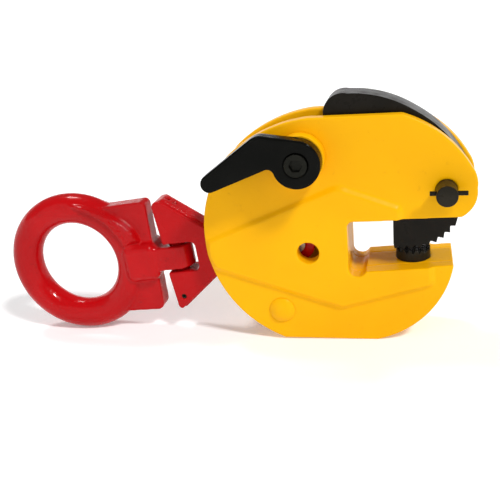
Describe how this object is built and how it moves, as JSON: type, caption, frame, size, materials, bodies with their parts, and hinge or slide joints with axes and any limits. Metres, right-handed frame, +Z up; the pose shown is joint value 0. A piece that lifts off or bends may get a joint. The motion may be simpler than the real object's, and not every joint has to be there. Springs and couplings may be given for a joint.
{
  "type": "vertical plate lifting clamp",
  "caption": "Vertical plate lifting clamp: a C-shaped body with a toothed cam and a swivelling pad, a lock lever, and a pull plate hinged to a forged lifting ring.",
  "frame": {"origin": "on the flat base, midway between the cheeks, below the middle of the body's round back", "axes": "+X from the lifting ring to the jaw mouth, +Y from the lever side to the back, +Z up from the base"},
  "size_m": [0.2739, 0.0581, 0.1384],
  "materials": {
    "yellow_paint": "gloss",
    "red_paint": "gloss",
    "black_oxide": "black oxide",
    "cam_steel": "black, semi-gloss",
    "lever_black": "gloss",
    "plain_steel": "plain",
    "spring_steel": "drawn wire",
    "bronze": "plain"
  },
  "bodies": {
    "body": {"front_cheek": "yellow_paint", "rear_cheek": "yellow_paint", "jaw_core": "yellow_paint", "core_dowels": "yellow_paint", "lower_rivet": "yellow_paint", "rivet_spacer": "yellow_paint", "lever_boss": "yellow_paint", "front_bush": "bronze", "rear_bush": "bronze", "cam_pin": "black_oxide", "cam_split_pin": "black_oxide", "cam_washers": "plain_steel", "lock_spring": "spring_steel"},
    "lever": {"lock_lever": "lever_black", "lever_shaft": "plain_steel", "lever_screw": "lever_black", "lever_roll_pin": "plain_steel", "crank_arm": "plain_steel", "crank_key_pin": "plain_steel", "crank_pin": "plain_steel"},
    "cam": {"cam_jaw": "cam_steel", "cam_link_pin": "plain_steel", "cam_spring_pin": "plain_steel"},
    "link": {"link_bar": "plain_steel"},
    "link_end": {"plate_pin": "plain_steel"},
    "plate": {"pull_plate": "red_paint", "ring_hinge_pin": "red_paint", "hinge_roll_pin": "plain_steel"},
    "ring": {"lifting_ring": "red_paint"},
    "pad": {"jaw_pad": "black_oxide", "pad_snap_ring": "plain_steel"}
  },
  "joints": [
    {"name": "cam_turn", "type": "hinge", "parent": "body", "child": "cam", "pos_m": [0.0627, 0, 0.0856], "axis": [0, 1, 0], "range_deg": [0, 50], "stiffness_Nm_per_rad": 0.3, "springref_deg": -34.38},
    {"name": "link_turn", "type": "hinge", "parent": "cam", "child": "link", "pos_m": [0.04, 0, 0.103], "axis": [0, 1, 0], "range_deg": [-39, 0.5]},
    {"name": "plate_pin_turn", "type": "hinge", "parent": "link", "child": "link_end", "pos_m": [-0.017, 0, 0.053], "axis": [0, 1, 0], "range_deg": [-20.5, 0.5]},
    {"name": "plate_swing", "type": "hinge", "parent": "link_end", "child": "plate", "pos_m": [-0.017, 0, 0.053], "axis": [0, 1, 0], "range_deg": [-6, 12]},
    {"name": "ring_flip", "type": "hinge", "parent": "plate", "child": "ring", "pos_m": [-0.08887, 0, 0.04608], "axis": [-0.0958, 0, 0.9954], "range_deg": [-75, 75]},
    {"name": "lever_turn", "type": "hinge", "parent": "body", "child": "lever", "pos_m": [-0.0106, 0, 0.105], "axis": [0, 1, 0], "range_deg": [0, 110], "deforming": ["lock_spring"]},
    {"name": "pad_swivel", "type": "hinge", "parent": "body", "child": "pad", "pos_m": [0.0459, 0, 0.0429], "axis": [0, 0, 1], "continuous": true}
  ],
  "couplings": [
    {"joint": "link_turn", "follows": "cam_turn", "ratio": -0.774},
    {"joint": "plate_pin_turn", "follows": "cam_turn", "ratio": -0.396}
  ]
}
